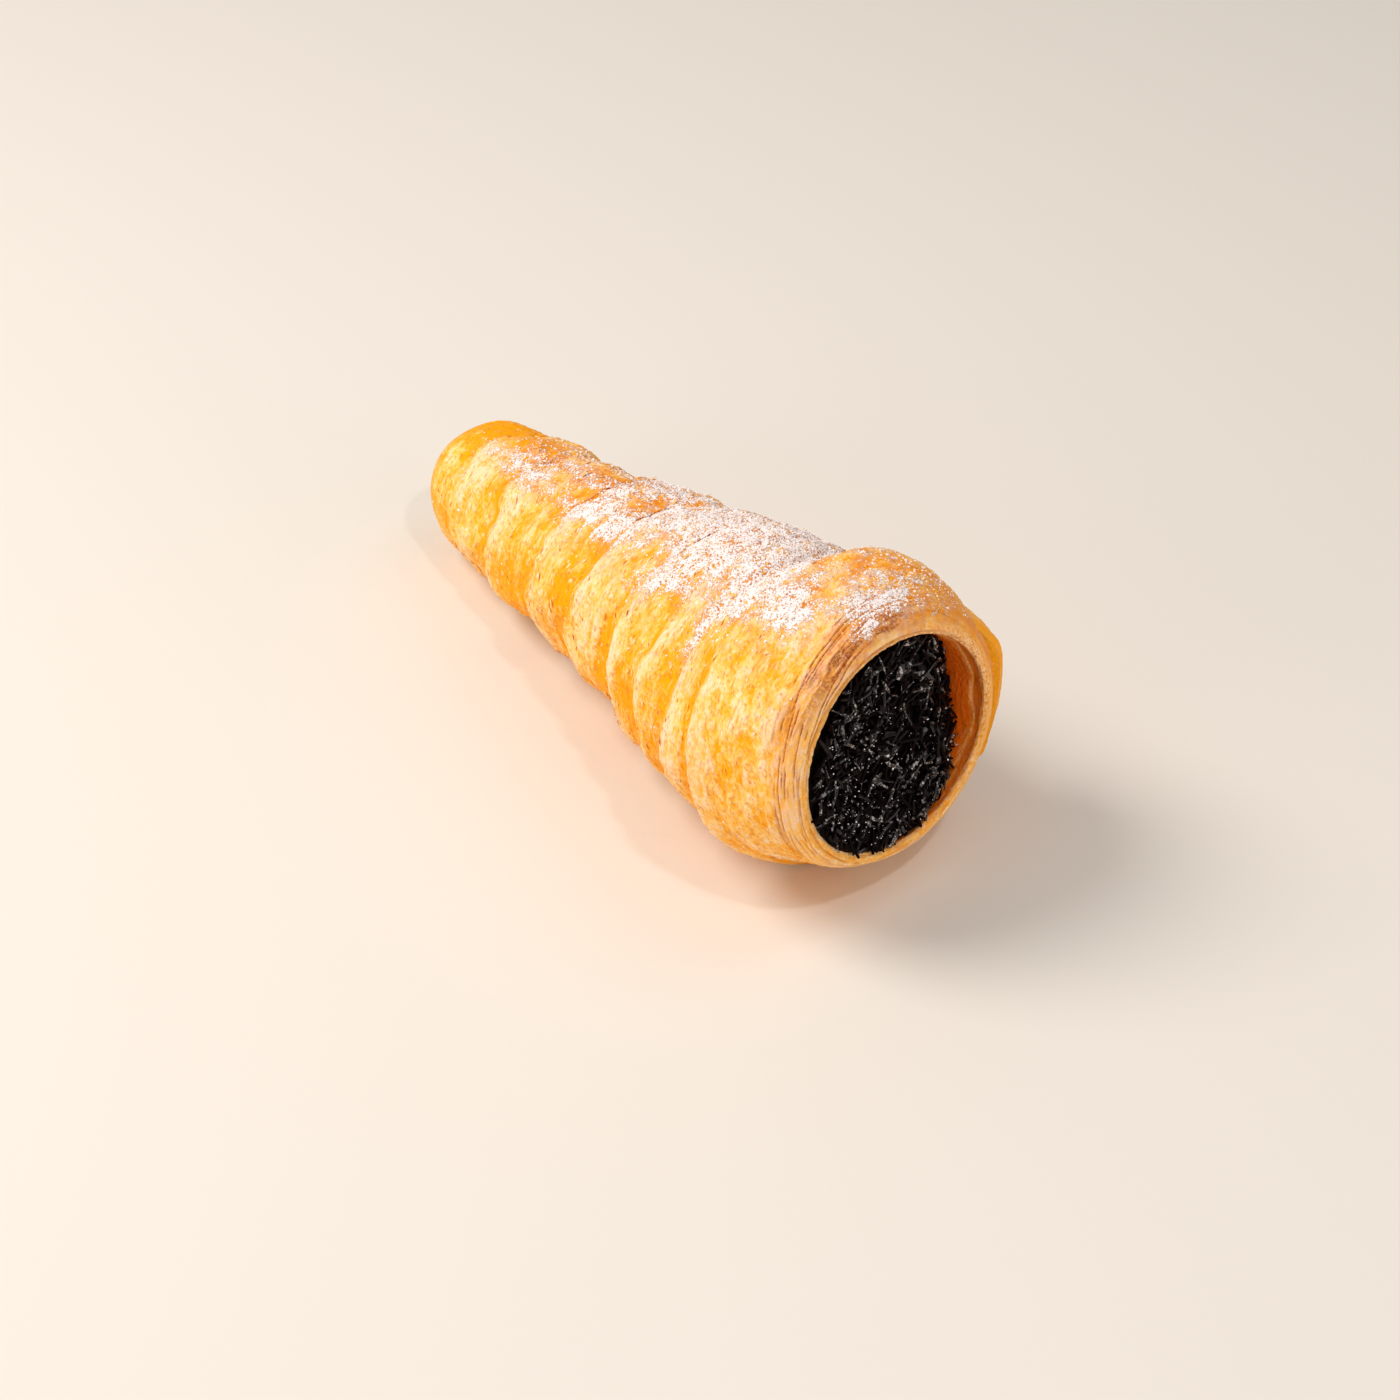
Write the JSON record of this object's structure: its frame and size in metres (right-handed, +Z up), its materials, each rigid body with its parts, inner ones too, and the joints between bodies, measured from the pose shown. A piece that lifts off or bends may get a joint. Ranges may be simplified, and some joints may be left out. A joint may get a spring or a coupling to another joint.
{
  "type": "cream horn pastry",
  "caption": "Cream horn lying on its side: puff pastry strip wound in overlapping turns into a tapered horn, filled to its mouth with chocolate cream covered in chocolate strands.",
  "frame": {"origin": "middle of the footprint's box, on the surface that the horn lies on", "axes": "+Z up, +X from the tip towards the mouth, +Y across"},
  "size_m": [0.147, 0.0634, 0.0571],
  "materials": {
    "pastry": "baked golden puff pastry, matt to satin",
    "chocolate": "dark chocolate, satin",
    "sugar": "powdered sugar, matt"
  },
  "bodies": {
    "root": {"pastry_shell": "pastry", "chocolate_filling": "chocolate"}
  },
  "joints": []
}
